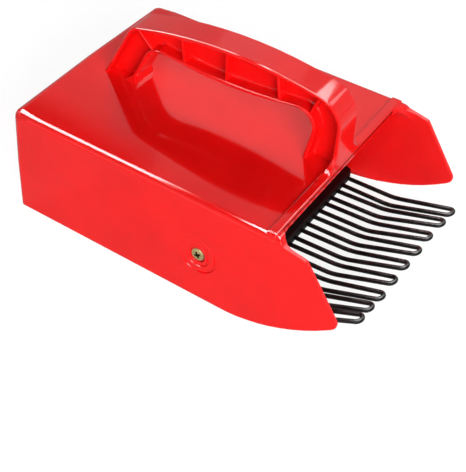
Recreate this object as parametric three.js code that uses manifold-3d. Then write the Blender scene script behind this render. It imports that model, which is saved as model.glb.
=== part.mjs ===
// Berry picking rake: a red moulded scoop with its handle in one piece, a black comb base
// screwed in behind the mouth, and nine hairpin tines of coated wire.
// Millimetres. +X points to the tine tips, +Y to the left of the user, +Z up.
// The origin lies on the underside of the flat floor, on the middle plane.
import * as THREE from "three";
import { mergeVertices } from "three/addons/utils/BufferGeometryUtils.js";
import Module from "manifold-3d";

const wasm = await Module();
wasm.setup();

// Scoop box
const boxLength = 178.5;
const boxHeight = 71.5;
const backWidth = 150;
const mouthFlare = 1.5;
const topDraft = 1.6;
const backLean = 3.1;
const wall = 2.3;
const topEdgeRadius = 4;
const bottomEdgeRadius = 1.8;
const backEdgeRadius = 4;
const insideRadius = 2;
const originSetback = 70;

// Floor and cheeks: the flat floor ends, and the cheeks sweep up to a blunt tip beside the tines
const flatFloor = 140;
const floorLength = 152;
const cheekReach = 43.3;
const cheekTipRise = 29.9;
const cheekTipRadius = 5;
const cheekStepReach = 5.5;
const cheekStepDrop = 3.2;
const cheekShoulderReach = 19.1;
const cheekShoulderDrop = 5.8;
const cheekShoulderRadius = 3;
const cheekLean = 1.4;

// Lip over the mouth
const lipDepth = 6;
const lipRise = 1.5;
const lipDrop = 1.2;
const lipRadius = 1.1;
const lipEndInset = 0.3;
const mouthCornerRadius = 9;
const lipCornerRadius = 11;

// Handle: an I-beam bent into a bridge, wide outer skin, narrower inner skin, ribs across the web
const handleRearFoot = 16.7;
const handleRise = 50.7;
const footSink = 1.2;
const outerSkinHalf = 10;
const innerSkinHalf = 9;
const skinThickness = 2.7;
const webThickness = 2.6;
const skinEdgeRadius = 1.1;
const webFillet = 1.8;
const rearBendRadius = 9;
const crownRadius = 255;
const frontBendRadius = 17;
const palmRearRadius = 13;
const palmBellyRadius = 225;
const palmFrontRadius = 11;
const footFlare = 12;
const skinStep = 0.1;
const footToe = 3.2;
const footToeHeight = 5;
const gripRibThickness = 1.8;
const gripRibInset = 1.2;

// Screws and the bosses that they sit in
const screwSetback = 24.5;
const screwHeight = 33;
const headRadius = 4.2;
const headHeight = 1.8;
const headCrown = 0.5;
const headClearance = 0.7;
const shankRadius = 1.9;
const shankLength = 14;
const shankTip = 2.5;
const crossWidth = 1.1;
const crossSpan = 4.6;
const crossDepth = 1.1;
const bossRadius = 8;
const bossHeight = 3;
const outerGrooveRadius = 11.8;
const innerGrooveRadius = 7.3;
const grooveWidth = 1.5;
const grooveDepth = 0.6;

// Comb base: a bar that holds the wires, and a hollow ramp up to a crest on the screw axis
const combNose = 4.5;
const barHeight = 6;
const barDepth = 14.5;
const barEdgeRadius = 2;
const rampFootSetback = 10;
const crestRadius = 5.5;
const combWall = 2.4;
const combRearSetback = 33;
const combCornerRadius = 5;
const combRibThickness = 2;
const endBlock = 13;

// Tines: hairpins of coated wire, each with two legs set in the bar
const wireDiameter = 2.8;
const hairpinMargin = 10.6;
const rootDepth = 11.5;
const wireHeight = 2.5;
const tineReach = 73;
const levelRun = 33.5;
const levelRise = 1.5;
const tipRise = 13.6;
const bendRadius = 36;

// Clearances
const fitGap = 0.3;
const overrun = 6;
const weld = 1e-4;
const sliver = 0.004;

// Counts
const hairpinCount = 9;
const combPocketCount = 6;
const wireSideCount = 8;
const holeSideCount = 24;
const grooveSideCount = 36;
const bendStepCount = 6;
const crownStepCount = 10;

// Shares of the handle's span and rise, from the rear foot: the outer skin's corners
const outerRearCornerShare = { span: 0.124, rise: 0.779 };
const outerCrownShare = { span: 0.522, rise: 1.122 };
const outerFrontCornerShare = { span: 0.992, rise: 0.848 };
// The inner skin's corners, which bound the finger gap
const innerRearFootShare = 0.127;
const innerRearCornerShare = { span: 0.2237, rise: 0.606 };
const innerBellyShare = { span: 0.521, rise: 0.438 };
const innerFrontCornerShare = { span: 0.903, rise: 0.686 };
const innerFrontFootShare = 0.862;
// Heights of the sections in the front foot's flare
const flareShares = [1, 0.7, 0.45, 0.25, 0.12, 0];
// Where the cheek's upward sweep gives way to its tip, in tip radii before it
const sweepStopShare = 1.1;
// The screw head's edge: its radius and its height below the crown
const headShoulderShare = { radius: 0.8, drop: 0.33 };
// Where the ribs meet the outer and the inner skin, along the handle's span
const gripRibShares = [
  { outer: 0.139, inner: 0.222 },
  { outer: 0.336, inner: 0.355 },
  { outer: 0.527, inner: 0.5315 },
  { outer: 0.729, inner: 0.748 },
  { outer: 0.905, inner: 0.865 },
];
// Distances between a hairpin's legs, in pitches: at the bar, at the upward bend and at the tip
const legSpacingShare = 0.533;
const bendSpacingShare = 0.5595;
const tipSpacingShare = 0.4263;
// Each hand-bent hairpin from the left: how far its tip leans sideways, in pitches, and its reach
const tipDriftShares = [-0.16, 0.04, 0, 0, 0, 0, 0, 0.27, 0.58];
const tipReachShares = [1.024, 1.016, 1, 1, 0.992, 0.99, 0.988, 0.972, 0.965];

// Derived places
const mouthX = boxLength;
const cheekTipX = boxLength + cheekReach;
const combFrontX = floorLength + combNose;
const combFloorZ = wall + fitGap;
const screwX = combFrontX - screwSetback;
const wireZ = combFloorZ + wireHeight;
const wireRadius = wireDiameter / 2;
const handleFrontFoot = boxLength - skinStep;
const handleSpan = handleFrontFoot - handleRearFoot;
const handleMiddle = handleRearFoot + handleSpan / 2;
const lipTopZ = boxHeight + lipRise;
const combHalf = (x, z) => halfWidthAt(x, z) - wall - bossHeight - fitGap;
const hairpinPitch = (2 * (combHalf(combFrontX, combFloorZ) - hairpinMargin)) / (hairpinCount - 1);
const legSpacing = legSpacingShare * hairpinPitch;
const bendSpacing = bendSpacingShare * hairpinPitch;
const tipSpacing = tipSpacingShare * hairpinPitch;

// Half the scoop's outer width at a place: the moulding draft widens it to the mouth and narrows
// it to the top, and past the mouth the cheeks lean in.
function halfWidthAt(x, z) {
  const lean = (cheekLean * Math.max(0, x - mouthX)) / cheekReach;
  return backWidth / 2 + (mouthFlare * x) / boxLength - (topDraft * z) / boxHeight - lean;
}

function backWallX(z) {
  return (-backLean * z) / boxHeight;
}

// Outlines

// Rounds an outline's corners, each given as [x, z, radius, steps]. An open outline keeps its ends.
function rounded(corners, closed = true) {
  const points = [];
  corners.forEach(([x, z, radius = 0, steps = 1], index) => {
    const corner = new THREE.Vector2(x, z);
    const isEnd = !closed && (index === 0 || index === corners.length - 1);
    if (isEnd || radius === 0) {
      points.push(corner);
      return;
    }
    const before = corners[(index + corners.length - 1) % corners.length];
    const after = corners[(index + 1) % corners.length];
    points.push(...cornerArc(corner, before, after, radius, steps));
  });
  return points;
}

function cornerArc(corner, before, after, radius, steps) {
  const incoming = new THREE.Vector2(before[0], before[1]).sub(corner);
  const outgoing = new THREE.Vector2(after[0], after[1]).sub(corner);
  const room = Math.min(incoming.length(), outgoing.length());
  incoming.normalize();
  outgoing.normalize();
  const halfAngle = Math.acos(THREE.MathUtils.clamp(incoming.dot(outgoing), -1, 1)) / 2;
  const setback = Math.min(radius / Math.tan(halfAngle), room);
  const arcRadius = setback * Math.tan(halfAngle);
  const middle = incoming.clone().add(outgoing).normalize();
  const centre = middle.multiplyScalar(arcRadius / Math.sin(halfAngle)).add(corner);
  const from = incoming.multiplyScalar(setback).add(corner).sub(centre).angle();
  const to = outgoing.multiplyScalar(setback).add(corner).sub(centre).angle();
  const turn = THREE.MathUtils.euclideanModulo(to - from + Math.PI, 2 * Math.PI) - Math.PI;
  return Array.from({ length: steps + 1 }, (_, step) => {
    const angle = from + (turn * step) / steps;
    return new THREE.Vector2(Math.cos(angle), Math.sin(angle)).multiplyScalar(arcRadius).add(centre);
  });
}

// Solids

// A closed geometry as a solid, whichever way round its faces were listed.
function solid(geometry) {
  const bare = new THREE.BufferGeometry();
  const flat = geometry.index ? geometry.toNonIndexed() : geometry;
  bare.setAttribute("position", flat.getAttribute("position"));
  const merged = mergeVertices(bare, weld);
  const corners = merged.index.array;
  const outward = [];
  const inward = [];
  for (let i = 0; i < corners.length; i += 3) {
    const [a, b, c] = [corners[i], corners[i + 1], corners[i + 2]];
    if (a === b || b === c || c === a) continue;
    outward.push(a, b, c);
    inward.push(a, c, b);
  }
  const build = (faces) =>
    new wasm.Manifold(
      new wasm.Mesh({
        numProp: 3,
        vertProperties: merged.attributes.position.array,
        triVerts: new Uint32Array(faces),
      }),
    );
  const made = build(outward);
  return made.volume() > 0 ? made : build(inward);
}

function geometryOf(manifold) {
  const mesh = manifold.getMesh();
  const geometry = new THREE.BufferGeometry();
  geometry.setAttribute("position", new THREE.BufferAttribute(mesh.vertProperties, 3));
  geometry.setIndex(new THREE.BufferAttribute(mesh.triVerts, 1));
  return geometry;
}

// A side outline, points (x, z), extruded across the scoop from yLow to yHigh.
function acrossPrism(points, yLow, yHigh) {
  const geometry = new THREE.ExtrudeGeometry(new THREE.Shape(points), {
    depth: yHigh - yLow,
    bevelEnabled: false,
  });
  const turn = new THREE.Matrix4().makeBasis(
    new THREE.Vector3(1, 0, 0),
    new THREE.Vector3(0, 0, 1),
    new THREE.Vector3(0, -1, 0),
  );
  return solid(geometry.applyMatrix4(turn).translate(0, yHigh, 0));
}

// A closed skin through rings of points with flat ends.
function loft(rings) {
  const count = rings[0].length;
  const positions = rings.flat().flatMap((point) => point.toArray());
  const faces = [];
  for (let ring = 0; ring + 1 < rings.length; ring += 1) {
    for (let side = 0; side < count; side += 1) {
      const a = ring * count + side;
      const b = ring * count + ((side + 1) % count);
      faces.push(a, b, b + count, a, b + count, a + count);
    }
  }
  const last = (rings.length - 1) * count;
  for (const [a, b, c] of capTriangles(rings[0])) faces.push(c, b, a);
  for (const [a, b, c] of capTriangles(rings[rings.length - 1])) faces.push(a + last, b + last, c + last);
  const geometry = new THREE.BufferGeometry();
  geometry.setAttribute("position", new THREE.Float32BufferAttribute(positions, 3));
  geometry.setIndex(faces);
  return solid(geometry);
}

// Triangles of a flat ring, found in the ring's own plane.
function capTriangles(ring) {
  const origin = ring[0];
  const normal = new THREE.Vector3();
  ring.forEach((point, index) => {
    const next = ring[(index + 1) % ring.length];
    normal.add(point.clone().sub(origin).cross(next.clone().sub(origin)));
  });
  normal.normalize();
  const first = ring[1].clone().sub(origin).normalize();
  const second = normal.clone().cross(first);
  const flat = ring.map((point) => {
    const offset = point.clone().sub(origin);
    return new THREE.Vector2(offset.dot(first), offset.dot(second));
  });
  return THREE.ShapeUtils.triangulateShape(flat, []);
}

// A turned form about the cross axis at the screw, from profile points (radius, outward y).
function turnedAtScrew(profile, sides, side, seatY) {
  const points = profile.map(([radius, y]) => new THREE.Vector2(radius, y));
  const geometry = new THREE.LatheGeometry(points, sides);
  if (side < 0) geometry.rotateX(Math.PI);
  return solid(geometry.translate(screwX, side * seatY, screwHeight));
}

// Scoop

// A box that follows the scoop's walls at the given inset, drafted and folded as they are.
function followingBox({ xLow, xHigh, inset, zLow, zHigh, lowRadius, highRadius }) {
  const stations = [xLow, xHigh];
  if (xLow < mouthX && xHigh > mouthX) stations.splice(1, 0, mouthX);
  const sectionAt = (x) => {
    const low = halfWidthAt(x, zLow) - inset;
    const high = halfWidthAt(x, zHigh) - inset;
    const outline = rounded([
      [-low, zLow, lowRadius, 4],
      [low, zLow, lowRadius, 4],
      [high, zHigh, highRadius, 6],
      [-high, zHigh, highRadius, 6],
    ]);
    return outline.map((point) => new THREE.Vector3(x, point.x, point.y));
  };
  return loft(stations.map(sectionAt));
}

// A plan outline with round back corners, drawn up along the leaning back wall.
function backRounding(inset, radius) {
  const levels = [-overrun, boxHeight + overrun];
  return loft(
    levels.map((z) => {
      const back = backWallX(z) + inset;
      const half = halfWidthAt(0, z) - inset;
      const front = cheekTipX + overrun;
      const frontHalf = halfWidthAt(0, z) + mouthFlare + overrun;
      const outline = rounded([
        [back, half, radius, 6],
        [back, -half, radius, 6],
        [backEdgeRadius * 2, -half],
        [front, -frontHalf],
        [front, frontHalf],
        [backEdgeRadius * 2, half],
      ]);
      return outline.map((point) => new THREE.Vector3(point.x, point.y, z));
    }),
  );
}

// The scoop seen from the side: floor, upward sweep, cheek tip, shoulder and top.
function sideOutline() {
  const sweepRun = cheekTipX - flatFloor;
  const sweepRadius = (sweepRun ** 2 + cheekTipRise ** 2) / (2 * cheekTipRise);
  const sweepSteps = 12;
  const lastShare = 1 - (sweepStopShare * cheekTipRadius) / sweepRun;
  const sweep = Array.from({ length: sweepSteps }, (_, step) => {
    const run = (sweepRun * lastShare * step) / (sweepSteps - 1);
    return [flatFloor + run, sweepRadius - Math.sqrt(sweepRadius ** 2 - run ** 2)];
  });
  return rounded([
    [0, 0, bottomEdgeRadius, 3],
    ...sweep,
    [cheekTipX, cheekTipRise, cheekTipRadius, 5],
    [mouthX + cheekShoulderReach, boxHeight - cheekShoulderDrop, cheekShoulderRadius, 3],
    [mouthX + cheekStepReach, boxHeight - cheekStepDrop, cheekShoulderRadius, 2],
    [mouthX + lipRise, boxHeight, lipRise, 2],
    [backWallX(boxHeight), boxHeight, topEdgeRadius, 5],
  ]);
}

function outerForm() {
  const width = backWidth + 2 * mouthFlare + 2 * overrun;
  return acrossPrism(sideOutline(), -width / 2, width / 2)
    .intersect(
      followingBox({
        xLow: -backLean - overrun,
        xHigh: cheekTipX + overrun,
        inset: 0,
        zLow: 0,
        zHigh: boxHeight,
        lowRadius: bottomEdgeRadius,
        highRadius: topEdgeRadius,
      }),
    )
    .intersect(backRounding(0, backEdgeRadius));
}

// The berry bin, open to the front.
function binCavity() {
  return followingBox({
    xLow: -backLean - overrun,
    xHigh: mouthX - lipDepth,
    inset: wall,
    zLow: wall,
    zHigh: boxHeight - wall,
    lowRadius: insideRadius,
    highRadius: insideRadius,
  }).intersect(backRounding(wall, backEdgeRadius - wall));
}

// The way in under the lip, with round upper corners in the mouth and in front of it.
function mouthCut() {
  const lipUnderZ = boxHeight - wall - lipDrop;
  const underLip = followingBox({
    xLow: mouthX - lipDepth - overrun,
    xHigh: mouthX + lipCornerRadius + overrun,
    inset: wall,
    zLow: wall,
    zHigh: lipUnderZ,
    lowRadius: insideRadius,
    highRadius: mouthCornerRadius,
  });
  const betweenCheeks = followingBox({
    xLow: mouthX,
    xHigh: cheekTipX + 2 * overrun,
    inset: wall,
    zLow: -overrun,
    zHigh: lipUnderZ - mouthCornerRadius,
    lowRadius: 0,
    highRadius: 0,
  });
  const openFloor = followingBox({
    xLow: floorLength,
    xHigh: cheekTipX + 2 * overrun,
    inset: wall,
    zLow: -overrun,
    zHigh: wall + insideRadius,
    lowRadius: 0,
    highRadius: 0,
  });
  return underLip.add(betweenCheeks).add(openFloor).add(aheadOfLip());
}

// The room ahead of the lip, with round corners in plan where the lip runs on into the cheeks.
function aheadOfLip() {
  const level = (z) => {
    const farX = cheekTipX + 2 * overrun;
    const half = (x) => halfWidthAt(x, z) - wall;
    const outline = rounded([
      [mouthX, -half(mouthX), lipCornerRadius, 6],
      [farX, -half(farX)],
      [farX, half(farX)],
      [mouthX, half(mouthX), lipCornerRadius, 6],
    ]);
    return outline.map((point) => new THREE.Vector3(point.x, point.y, z));
  };
  return loft([level(-overrun), level(boxHeight + 2 * overrun)]);
}

// The raised bead along the mouth's upper edge.
function lipBead() {
  const profile = rounded([
    [mouthX - lipDepth, boxHeight - wall / 2],
    [mouthX, boxHeight - wall / 2],
    [mouthX, lipTopZ, lipRadius, 3],
    [mouthX - lipDepth, lipTopZ, lipRadius, 3],
  ]);
  const half = backWidth / 2 + mouthFlare;
  const endBox = {
    xLow: mouthX - lipDepth - overrun,
    xHigh: mouthX + overrun,
    inset: lipEndInset,
    zLow: -overrun,
    zHigh: lipTopZ,
    lowRadius: 0,
    highRadius: topEdgeRadius,
  };
  return acrossPrism(profile, -half, half).intersect(followingBox(endBox));
}

// Handle

function handlePlace(share) {
  return [handleRearFoot + share.span * handleSpan, boxHeight + share.rise * handleRise];
}

// Both skins as side outlines with one point for each station along the beam.
function handleOutlines() {
  const footZ = boxHeight - footSink;
  const flareLevels = flareShares.map((share) => lipTopZ + share * footFlare);
  const outerRear = handlePlace(outerRearCornerShare);
  const outerFront = handlePlace(outerFrontCornerShare);
  const innerRear = handlePlace(innerRearCornerShare);
  const innerFront = handlePlace(innerFrontCornerShare);
  const innerRearFoot = handleRearFoot + innerRearFootShare * handleSpan;
  const innerFrontFoot = handleRearFoot + innerFrontFootShare * handleSpan;
  const along = (footX, top, z) => footX + ((top[0] - footX) * (z - footZ)) / (top[1] - footZ);
  const rearLevels = [footZ, boxHeight, boxHeight + footToeHeight / 2, boxHeight + footToeHeight];
  const frontLevels = [...flareLevels, footZ];
  const outline = (rearFoot, rear, middle, front, frontFoot, radii, spreadAt) =>
    rounded(
      [
        ...rearLevels.map((z) => [along(rearFoot, rear, z) + spreadAt(z), z]),
        [...rear, radii[0], bendStepCount],
        [...middle, radii[1], crownStepCount],
        [...front, radii[2], bendStepCount],
        ...frontLevels.map((z) => [along(frontFoot, front, z), z]),
      ],
      false,
    );
  return {
    outer: outline(
      handleRearFoot,
      outerRear,
      handlePlace(outerCrownShare),
      outerFront,
      handleFrontFoot,
      [rearBendRadius, crownRadius, frontBendRadius],
      () => 0,
    ),
    inner: outline(
      innerRearFoot,
      innerRear,
      handlePlace(innerBellyShare),
      innerFront,
      innerFrontFoot,
      [palmRearRadius, palmBellyRadius, palmFrontRadius],
      toeAt,
    ),
  };
}

// One I-shaped section, points (across, up from the inner skin's face).
function beamSection(depth, outerHalf, outerDepth, innerDepth) {
  const web = webThickness / 2;
  const topStart = depth - outerDepth;
  return rounded([
    [-outerHalf, depth, skinEdgeRadius, 2],
    [-outerHalf, topStart, skinEdgeRadius, 2],
    [-web, topStart, webFillet, 2],
    [-web, innerDepth, webFillet, 2],
    [-innerSkinHalf, innerDepth, skinEdgeRadius, 2],
    [-innerSkinHalf, 0, skinEdgeRadius, 2],
    [innerSkinHalf, 0, skinEdgeRadius, 2],
    [innerSkinHalf, innerDepth, skinEdgeRadius, 2],
    [web, innerDepth, webFillet, 2],
    [web, topStart, webFillet, 2],
    [outerHalf, topStart, skinEdgeRadius, 2],
    [outerHalf, depth, skinEdgeRadius, 2],
  ]);
}

// The outer skin spreads onto the lip in a quarter circle on each side of the front foot.
function flareAt({ x, y: z }) {
  if (x < handleMiddle) return 0;
  const above = THREE.MathUtils.clamp(z - lipTopZ, 0, footFlare);
  return footFlare - Math.sqrt(footFlare ** 2 - (footFlare - above) ** 2);
}

// How far the inner skin's rear foot spreads to each side at a height.
function toeAt(z) {
  return footToe * THREE.MathUtils.clamp(1 - (z - boxHeight) / footToeHeight, 0, 1);
}

function handleBeam({ outer, inner }) {
  const rings = outer.map((top, index) => {
    const bottom = inner[index];
    const up = top.clone().sub(bottom);
    const depth = up.length();
    up.normalize();
    const flare = flareAt(top);
    const outerDepth = skinThickness + ((lipDepth - skinThickness) * flare) / footFlare;
    const toe = bottom.x < handleMiddle ? 2 * toeAt(bottom.y) : 0;
    const section = beamSection(depth, outerSkinHalf + flare, outerDepth, skinThickness + toe);
    return section.map(
      (point) => new THREE.Vector3(bottom.x + up.x * point.y, point.x, bottom.y + up.y * point.y),
    );
  });
  return loft(rings);
}

// The highest point of a skin's outline at a place along the handle's span.
function skinPointAt(outline, share) {
  const x = handleRearFoot + share * handleSpan;
  const crossings = outline.slice(1).flatMap((end, index) => {
    const start = outline[index];
    const part = (x - start.x) / (end.x - start.x);
    return part >= 0 && part <= 1 ? [start.clone().lerp(end, part)] : [];
  });
  return crossings.reduce((best, point) => (point.y > best.y ? point : best));
}

// Ribs across the web, one slab for both sides.
function gripRibs({ outer, inner }) {
  return gripRibShares.map((share) => {
    const top = skinPointAt(outer, share.outer);
    const bottom = skinPointAt(inner, share.inner);
    const up = top.clone().sub(bottom);
    const geometry = new THREE.BoxGeometry(
      gripRibThickness,
      2 * (innerSkinHalf - gripRibInset),
      up.length() - skinThickness,
    );
    geometry.rotateY(Math.PI / 2 - up.angle());
    const middle = top.add(bottom).multiplyScalar(1 / 2);
    return solid(geometry.translate(middle.x, 0, middle.y));
  });
}

// Screw seats in the side walls

function wallYAtScrew() {
  return halfWidthAt(screwX, screwHeight);
}

function innerBoss(side) {
  const seatY = wallYAtScrew() - wall;
  const profile = [
    [0, -bossHeight],
    [bossRadius, -bossHeight],
    [bossRadius, wall / 2],
    [0, wall / 2],
  ];
  return turnedAtScrew(profile, holeSideCount, side, seatY);
}

function screwSeatCuts(side) {
  const seatY = wallYAtScrew();
  const holeRadius = shankRadius + fitGap;
  const hole = [
    [0, -wall - bossHeight - overrun],
    [holeRadius, -wall - bossHeight - overrun],
    [holeRadius, -headHeight],
    [headRadius + headClearance, -headHeight],
    [headRadius + headClearance, overrun],
    [0, overrun],
  ];
  const groove = (radius) => [
    [radius - grooveWidth / 2, overrun],
    [radius - grooveWidth / 2, 0],
    [radius - grooveWidth / 4, -grooveDepth],
    [radius + grooveWidth / 4, -grooveDepth],
    [radius + grooveWidth / 2, 0],
    [radius + grooveWidth / 2, overrun],
    [radius - grooveWidth / 2, overrun],
  ];
  return [
    turnedAtScrew(hole, holeSideCount, side, seatY),
    turnedAtScrew(groove(outerGrooveRadius), grooveSideCount, side, seatY),
    turnedAtScrew(groove(innerGrooveRadius), grooveSideCount, side, seatY),
  ];
}

function scoopBody() {
  let body = outerForm().subtract(binCavity()).subtract(mouthCut()).add(lipBead());
  const outlines = handleOutlines();
  body = body.add(handleBeam(outlines));
  for (const rib of gripRibs(outlines)) body = body.add(rib);
  for (const side of [-1, 1]) {
    body = body.add(innerBoss(side));
    for (const cut of screwSeatCuts(side)) body = body.subtract(cut);
  }
  return body.simplify(sliver);
}

// Comb base

// The ramp touches the crest circle, which lies on the screw axis. The corner of the two
// tangents stands in for the crest, and rounding it by the crest's radius gives the circle back.
function combOutline(inset) {
  const crest = new THREE.Vector2(screwX, screwHeight);
  const rampFoot = new THREE.Vector2(combFrontX - rampFootSetback, combFloorZ + barHeight);
  const rearFoot = new THREE.Vector2(combFrontX - combRearSetback, combFloorZ);
  const corner = tangentCorner(rampFoot, rearFoot, crest, crestRadius);
  if (inset === 0) {
    return rounded([
      [rearFoot.x, rearFoot.y],
      [combFrontX, combFloorZ],
      [combFrontX, combFloorZ + barHeight, barEdgeRadius, 4],
      [rampFoot.x, rampFoot.y, crestRadius, 2],
      [corner.x, corner.y, crestRadius, 7],
    ]);
  }
  const hollowCorner = tangentCorner(rampFoot, rearFoot, crest, crestRadius - inset);
  const barBackX = combFrontX - barDepth;
  const rampShare = (rampFoot.x - barBackX) / (rampFoot.x - hollowCorner.x);
  const rampZ = rampFoot.y + rampShare * (hollowCorner.y - rampFoot.y) - inset;
  return rounded([
    [rearFoot.x + inset, rearFoot.y - overrun],
    [barBackX, rearFoot.y - overrun],
    [barBackX, rampZ],
    [hollowCorner.x, hollowCorner.y - inset, crestRadius - inset, 4],
  ]);
}

// Where the two lines from the feet that touch a circle above them meet.
function tangentCorner(frontFoot, rearFoot, centre, radius) {
  const direction = (foot, side) => {
    const toCentre = centre.clone().sub(foot);
    const bend = Math.asin(radius / toCentre.length());
    return toCentre.normalize().rotateAround(new THREE.Vector2(), side * bend);
  };
  const front = direction(frontFoot, -1);
  const rear = direction(rearFoot, 1);
  const between = rearFoot.clone().sub(frontFoot);
  const reach = between.cross(rear) / front.cross(rear);
  return frontFoot.clone().addScaledVector(front, reach);
}

// A plan outline that rounds the bar's front corners and keeps clear of the bosses.
function combPlan() {
  const level = (z) => {
    const rearX = combFrontX - combRearSetback - overrun;
    const outline = rounded([
      [rearX, -combHalf(rearX, z)],
      [combFrontX, -combHalf(combFrontX, z), combCornerRadius, 5],
      [combFrontX, combHalf(combFrontX, z), combCornerRadius, 5],
      [rearX, combHalf(rearX, z)],
    ]);
    return outline.map((point) => new THREE.Vector3(point.x, point.y, z));
  };
  return loft([level(combFloorZ - overrun), level(screwHeight + crestRadius + overrun)]);
}

function combPocketCuts() {
  const half = combHalf(screwX, screwHeight) - endBlock;
  const pitch = (2 * half + combRibThickness) / combPocketCount;
  const outline = combOutline(combWall);
  return Array.from({ length: combPocketCount }, (_, index) => {
    const yLow = -half + index * pitch;
    return acrossPrism(outline, yLow, yLow + pitch - combRibThickness);
  });
}

// Every hairpin's place across the comb at its root, left to right.
function hairpinCentres() {
  const middle = (hairpinCount - 1) / 2;
  return Array.from({ length: hairpinCount }, (_, index) => (middle - index) * hairpinPitch);
}

function wireSocket(y) {
  const radius = (wireRadius + fitGap) / Math.cos(Math.PI / wireSideCount);
  const length = rootDepth + fitGap + overrun;
  const geometry = new THREE.CylinderGeometry(radius, radius, length, wireSideCount);
  geometry.rotateZ(Math.PI / 2);
  return solid(geometry.translate(combFrontX + overrun - length / 2, y, wireZ));
}

function screwPilot(side) {
  const radius = shankRadius + fitGap;
  const seatY = wallYAtScrew() - headHeight + fitGap;
  const profile = [
    [0, -shankLength - fitGap],
    [radius, -shankLength - fitGap],
    [radius, overrun],
    [0, overrun],
  ];
  return turnedAtScrew(profile, holeSideCount, side, seatY);
}

function combBase() {
  const halfWidth = backWidth / 2 + mouthFlare;
  let comb = acrossPrism(combOutline(0), -halfWidth, halfWidth).intersect(combPlan());
  for (const cut of combPocketCuts()) comb = comb.subtract(cut);
  for (const centre of hairpinCentres()) {
    comb = comb.subtract(wireSocket(centre + legSpacing / 2));
    comb = comb.subtract(wireSocket(centre - legSpacing / 2));
  }
  for (const side of [-1, 1]) comb = comb.subtract(screwPilot(side));
  return comb;
}

// Tines

// The wire seen from the side: level in the bar, gently rising, then bent up to the tip.
function wireSideLine(reach) {
  return rounded(
    [
      [combFrontX - rootDepth, wireZ],
      [combFrontX, wireZ],
      [combFrontX + levelRun / 2, wireZ + levelRise / 2],
      [combFrontX + levelRun, wireZ + levelRise, bendRadius, 3],
      [combFrontX + (levelRun + reach) / 2, wireZ + (levelRise + tipRise) / 2],
      [combFrontX + reach - wireRadius - tipSpacing / 2, wireZ + tipRise],
    ],
    false,
  );
}

// Half the distance between a hairpin's legs: they bow out to the bend and close to the tip.
function legHalfAt(x, reach) {
  const run = Math.max(0, x - combFrontX);
  if (run < levelRun) return (legSpacing + ((bendSpacing - legSpacing) * run) / levelRun) / 2;
  const share = (run - levelRun) / (reach - wireRadius - tipSpacing / 2 - levelRun);
  return (bendSpacing + (tipSpacing - bendSpacing) * share) / 2;
}

// The control points of one hairpin: out along one leg, round the tip and back along the other.
function hairpinPoints(centreY, tipDrift, reach) {
  const line = wireSideLine(reach);
  const centreAt = (x) => centreY + (tipDrift * Math.max(0, x - combFrontX)) / reach;
  const leg = (side) =>
    line.map(({ x, y: z }) => new THREE.Vector3(x, centreAt(x) + side * legHalfAt(x, reach), z));
  const end = line[line.length - 1];
  const ahead = end.clone().sub(line[line.length - 2]).normalize();
  const half = legHalfAt(end.x, reach);
  const arcSteps = 6;
  const arc = Array.from({ length: arcSteps - 1 }, (_, index) => {
    const angle = Math.PI / 2 - (Math.PI * (index + 1)) / arcSteps;
    const forward = half * Math.cos(angle);
    return new THREE.Vector3(
      end.x + ahead.x * forward,
      centreAt(end.x) + half * Math.sin(angle),
      end.y + ahead.y * forward,
    );
  });
  return [...leg(1), ...arc, ...leg(-1).reverse()];
}

// A curve whose samples fall on its control points, so bends keep their own close spacing.
class WireCurve extends THREE.CatmullRomCurve3 {
  getUtoTmapping(u) {
    return u;
  }
}

function hairpin(centreY, tipDrift, reach) {
  const points = hairpinPoints(centreY, tipDrift, reach);
  const section = new THREE.Shape(
    Array.from({ length: wireSideCount }, (_, index) => {
      const angle = (2 * Math.PI * index) / wireSideCount;
      return new THREE.Vector2(Math.cos(angle), Math.sin(angle)).multiplyScalar(wireRadius);
    }),
  );
  const geometry = new THREE.ExtrudeGeometry(section, {
    steps: points.length - 1,
    bevelEnabled: false,
    extrudePath: new WireCurve(points),
  });
  return solid(geometry);
}

// Screws

function sideScrew(side) {
  const seatY = wallYAtScrew() - headHeight + fitGap;
  const profile = [
    [0, -shankLength],
    [shankRadius, -shankLength + shankTip],
    [shankRadius, 0],
    [headRadius, 0],
    [headRadius, headHeight - headCrown],
    [headRadius * headShoulderShare.radius, headHeight - headCrown * headShoulderShare.drop],
    [0, headHeight],
  ];
  const crossY = wallYAtScrew() + fitGap - crossDepth / 2;
  const bar = (sizeX, sizeZ) =>
    solid(
      new THREE.BoxGeometry(sizeX, crossDepth + overrun, sizeZ).translate(
        screwX,
        side * (crossY + overrun / 2),
        screwHeight,
      ),
    );
  return turnedAtScrew(profile, holeSideCount, side, seatY)
    .subtract(bar(crossSpan, crossWidth))
    .subtract(bar(crossWidth, crossSpan));
}

// Finishes
const redPlastic = { color: 0xe0201f, roughness: 0.18, metalness: 0 };
const blackPlastic = { color: 0x121214, roughness: 0.35, metalness: 0 };
const blackCoating = { color: 0x0b0b0d, roughness: 0.22, metalness: 0 };
const yellowZinc = { color: 0xd9b46a, roughness: 0.3, metalness: 1 };

const rake = new THREE.Group();
rake.name = "berry_rake";
rake.position.x = -originSetback;

function addPiece(name, manifold, finish) {
  const mesh = new THREE.Mesh(geometryOf(manifold), new THREE.MeshStandardMaterial(finish));
  mesh.name = name;
  rake.add(mesh);
}

addPiece("scoop_body", scoopBody(), redPlastic);
addPiece("comb_base", combBase(), blackPlastic);
hairpinCentres().forEach((centre, index) => {
  const drift = tipDriftShares[index] * hairpinPitch;
  const reach = tipReachShares[index] * tineReach;
  addPiece(`tine_${index + 1}`, hairpin(centre, drift, reach), blackCoating);
});
addPiece("left_screw", sideScrew(1), yellowZinc);
addPiece("right_screw", sideScrew(-1), yellowZinc);

export default rake;
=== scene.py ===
import math

import bmesh
import bpy
from mathutils import Matrix, Vector


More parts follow.
